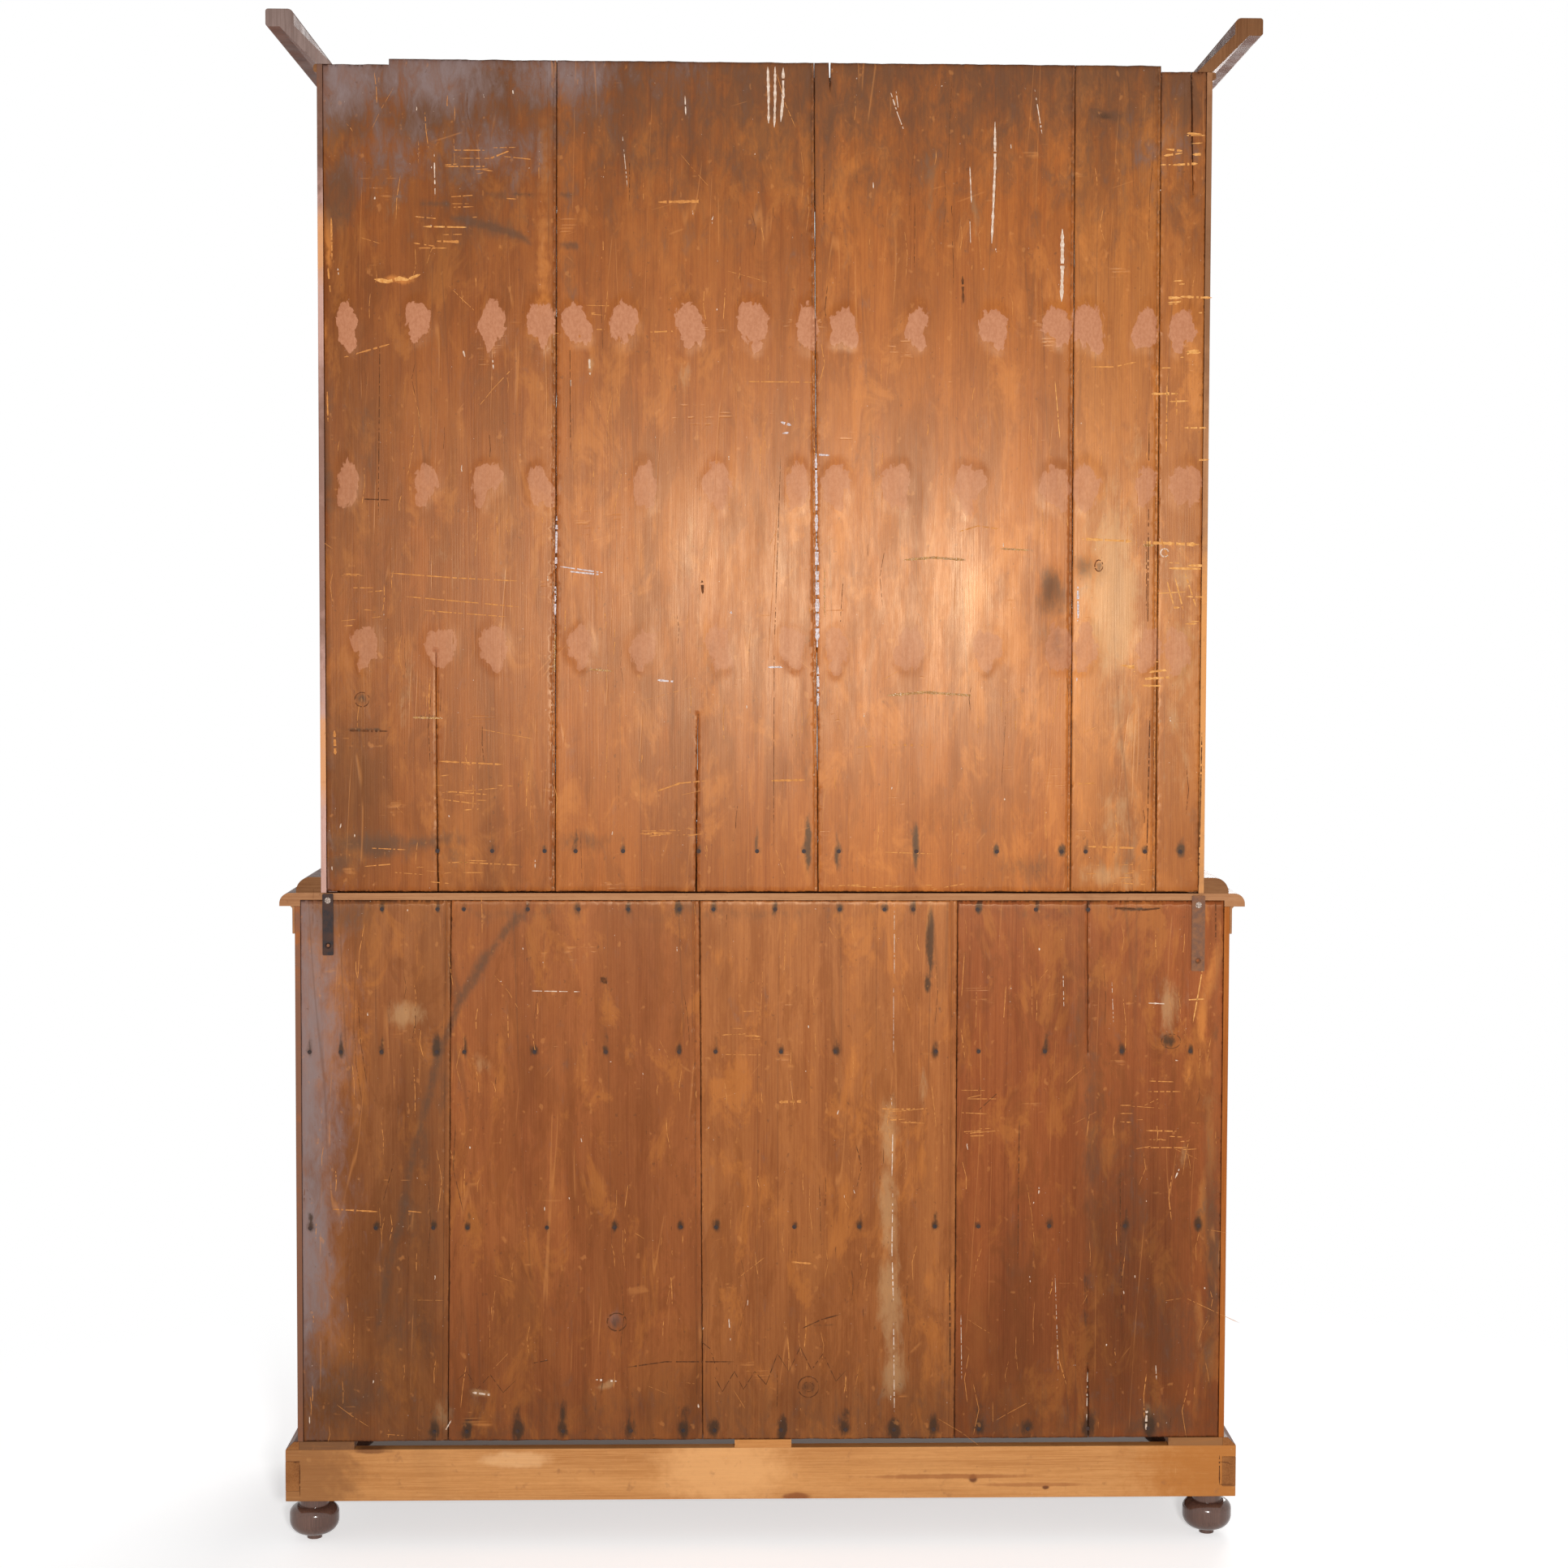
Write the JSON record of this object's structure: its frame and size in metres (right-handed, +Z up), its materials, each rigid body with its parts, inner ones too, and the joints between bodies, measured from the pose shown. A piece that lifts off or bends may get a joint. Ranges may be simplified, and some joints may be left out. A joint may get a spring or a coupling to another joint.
{
  "type": "buffet",
  "caption": "Two-part softwood buffet: glazed upper cupboard with sloping cornice on a lower case with drawers and panelled doors, plinth and turned bun feet.",
  "frame": {"origin": "on the floor, in the middle of the whole buffet's width and depth", "axes": "+Z up, -Y out of the front with its doors and drawers, +Y out of the back that the picture shows, +X to the right as someone facing the front sees it"},
  "size_m": [1.422, 0.4952, 2.214],
  "materials": {
    "old_pine": "bare, aged and unpolished",
    "new_pine": "bare, lighter replacement wood",
    "polished_pine": "reddish-brown shellac polish, worn at the arrises",
    "iron": "dark, rusted",
    "brass": "tarnished",
    "glass": "clear, slightly wavy"
  },
  "bodies": {
    "case": {"back_fasteners": "iron", "case_hinge_leaves": "iron", "cornice_bead": "polished_pine", "cornice_front": "polished_pine", "cornice_left": "polished_pine", "cornice_right": "polished_pine", "drawer_divider": "old_pine", "drawer_guides": "old_pine", "dust_board": "old_pine", "foot_back_left": "polished_pine", "foot_back_right": "polished_pine", "foot_front_left": "polished_pine", "foot_front_right": "polished_pine", "frieze_strips": "polished_pine", "lower_back_board_1": "old_pine", "lower_back_board_2": "old_pine", "lower_back_board_3": "old_pine", "lower_back_board_4": "old_pine", "lower_back_rail": "old_pine", "lower_bottom_board": "old_pine", "lower_front_frame": "polished_pine", "lower_shelf": "old_pine", "lower_side_left": "polished_pine", "lower_side_right": "polished_pine", "lower_top_board": "polished_pine", "plinth_back_rail": "new_pine", "plinth_blocks": "new_pine", "plinth_front_board": "polished_pine", "plinth_side_left": "polished_pine", "plinth_side_right": "polished_pine", "upper_back_board_1": "old_pine", "upper_back_board_2": "old_pine", "upper_back_board_3": "old_pine", "upper_back_board_4": "old_pine", "upper_back_board_5": "old_pine", "upper_bottom_board": "old_pine", "upper_front_frame": "polished_pine", "upper_shelves": "old_pine", "upper_side_left": "polished_pine", "upper_side_right": "polished_pine", "upper_top_board": "old_pine", "waist_moulding": "polished_pine"},
    "upper_left_door": {"upper_door_left": "polished_pine", "upper_door_left_glass": "glass", "upper_door_left_iron": "iron"},
    "upper_right_door": {"upper_door_right": "polished_pine", "upper_door_right_glass": "glass", "upper_door_right_iron": "iron"},
    "lower_left_door": {"lower_door_left": "polished_pine", "lower_door_left_iron": "iron"},
    "lower_right_door": {"lower_door_right": "polished_pine", "lower_door_right_iron": "iron"},
    "left_drawer": {"drawer_left": "polished_pine"},
    "right_drawer": {"drawer_right": "polished_pine"},
    "left_tie_plate": {"tie_plate_left": "iron"},
    "right_tie_plate": {"tie_plate_right": "iron"},
    "upper_lock_key": {"upper_key": "brass"},
    "lower_lock_key": {"lower_key": "brass"},
    "upper_bolt": {"upper_lock_bolt": "iron"},
    "lower_bolt": {"lower_lock_bolt": "iron"}
  },
  "joints": [
    {"name": "upper_left_door_hinge", "type": "hinge", "parent": "case", "child": "upper_left_door", "pos_m": [-0.5925, -0.1801, 1.543], "axis": [0, 0, -1], "range_deg": [0, 110]},
    {"name": "upper_right_door_hinge", "type": "hinge", "parent": "case", "child": "upper_right_door", "pos_m": [0.5925, -0.1801, 1.543], "axis": [0, 0, 1], "range_deg": [0, 110]},
    {"name": "lower_left_door_hinge", "type": "hinge", "parent": "case", "child": "lower_left_door", "pos_m": [-0.6305, -0.2181, 0.454], "axis": [0, 0, -1], "range_deg": [0, 110]},
    {"name": "lower_right_door_hinge", "type": "hinge", "parent": "case", "child": "lower_right_door", "pos_m": [0.6305, -0.2181, 0.454], "axis": [0, 0, 1], "range_deg": [0, 110]},
    {"name": "left_drawer_slide", "type": "slide", "parent": "case", "child": "left_drawer", "axis": [0, -1, 0], "range_m": [0, 0.3]},
    {"name": "right_drawer_slide", "type": "slide", "parent": "case", "child": "right_drawer", "axis": [0, -1, 0], "range_m": [0, 0.3]},
    {"name": "left_tie_plate_pivot", "type": "hinge", "parent": "case", "child": "left_tie_plate", "pos_m": [-0.631, 0.246, 0.9385], "axis": [0, 1, 0], "range_deg": [0, 180]},
    {"name": "right_tie_plate_pivot", "type": "hinge", "parent": "case", "child": "right_tie_plate", "pos_m": [0.629, 0.246, 0.9446], "axis": [0, -1, 0], "range_deg": [0, 180]},
    {"name": "upper_key_turn", "type": "hinge", "parent": "upper_right_door", "child": "upper_lock_key", "pos_m": [0.028, -0.1756, 1.4278], "axis": [0, 1, 0], "range_deg": [0, 90]},
    {"name": "upper_bolt_slide", "type": "slide", "parent": "upper_right_door", "child": "upper_bolt", "axis": [-1, 0, 0], "range_m": [0, 0.012]},
    {"name": "lower_key_turn", "type": "hinge", "parent": "lower_right_door", "child": "lower_lock_key", "pos_m": [0.028, -0.2136, 0.59009], "axis": [0, 1, 0], "range_deg": [0, 90]},
    {"name": "lower_bolt_slide", "type": "slide", "parent": "lower_right_door", "child": "lower_bolt", "axis": [-1, 0, 0], "range_m": [0, 0.012]}
  ],
  "couplings": [
    {"joint": "upper_bolt_slide", "follows": "upper_key_turn", "m_per_rad": 0.00763},
    {"joint": "lower_bolt_slide", "follows": "lower_key_turn", "m_per_rad": 0.00763}
  ]
}
